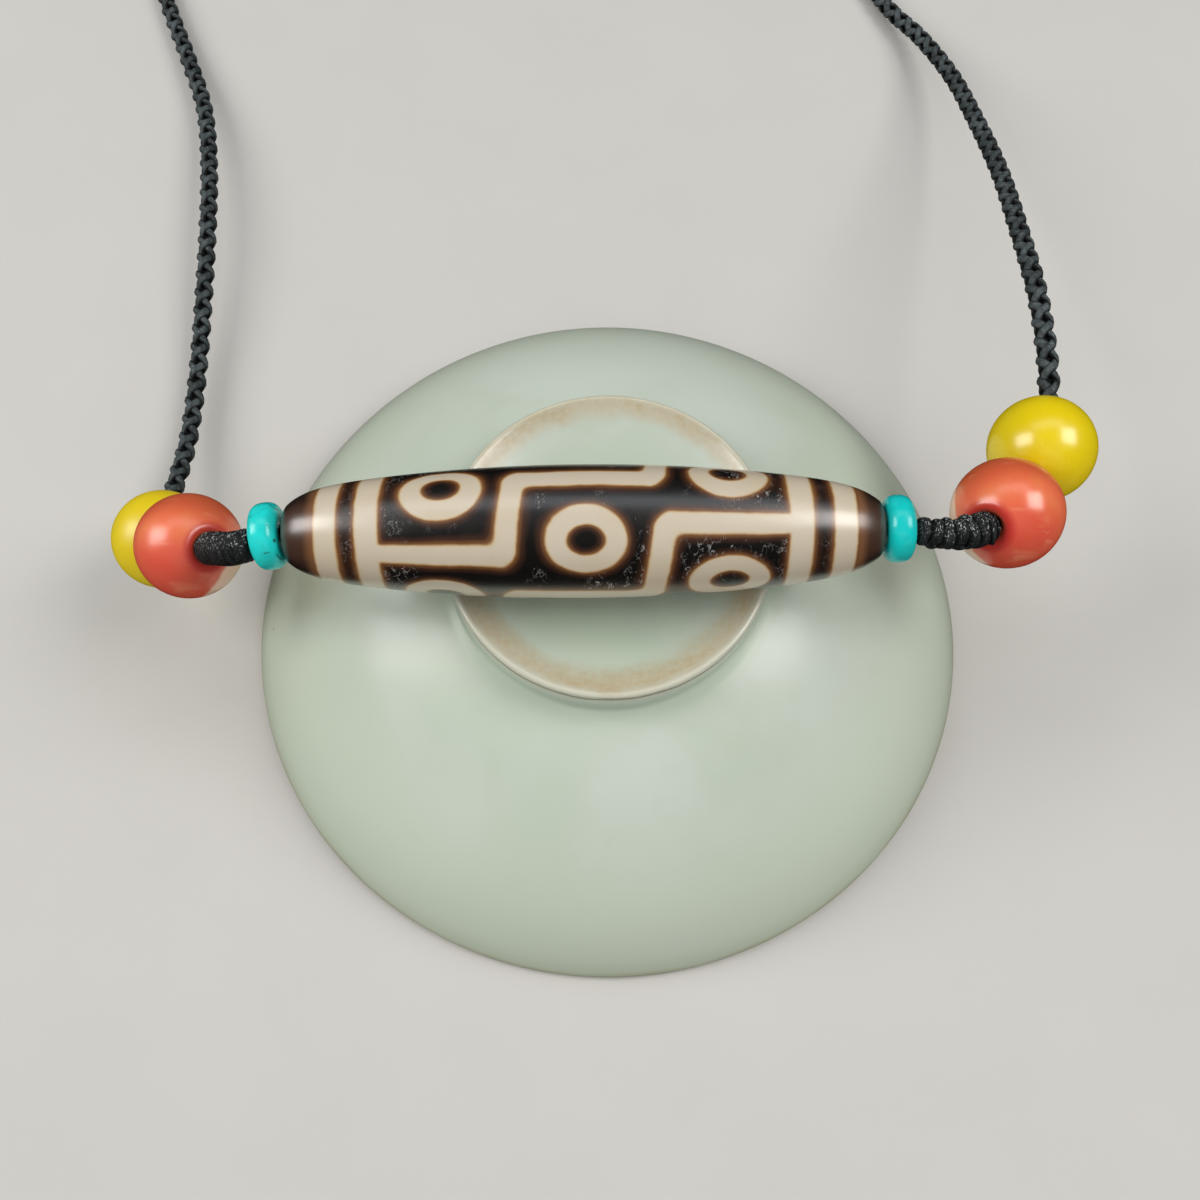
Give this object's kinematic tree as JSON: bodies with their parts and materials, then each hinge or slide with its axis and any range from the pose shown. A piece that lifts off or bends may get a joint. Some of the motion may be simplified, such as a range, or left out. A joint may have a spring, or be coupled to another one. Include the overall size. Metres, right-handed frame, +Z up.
{
  "type": "dzi bead necklace on upturned bowl stand",
  "caption": "Corded necklace with a long patterned agate barrel bead, turquoise discs and red and yellow round beads, lying over the foot ring of an upturned celadon bowl as its stand.",
  "frame": {"origin": "on the floor, under the middle of the long bead in X and on the bowl's axis in Y", "axes": "+X along the long bead to the right of the picture, +Y away from the viewer to the far end of the neck cord's loop, +Z up"},
  "size_m": [0.129, 0.2306, 0.0408],
  "materials": {
    "celadon": "satin glaze",
    "agate": "waxy polish",
    "turquoise": "polished",
    "coral": "polished",
    "yellow_resin": "gloss",
    "black_cord": "braided, waxed"
  },
  "bodies": {
    "root": {"stand_bowl": "celadon", "dzi_bead": "agate", "turquoise_disc_left": "turquoise", "turquoise_disc_right": "turquoise", "knot_cord_left": "black_cord", "knot_cord_right": "black_cord", "coral_bead_left": "coral", "coral_bead_right": "coral", "yellow_bead_left": "yellow_resin", "yellow_bead_right": "yellow_resin", "bead_thread": "black_cord", "neck_cord": "black_cord", "cord_join": "black_cord"}
  },
  "joints": []
}
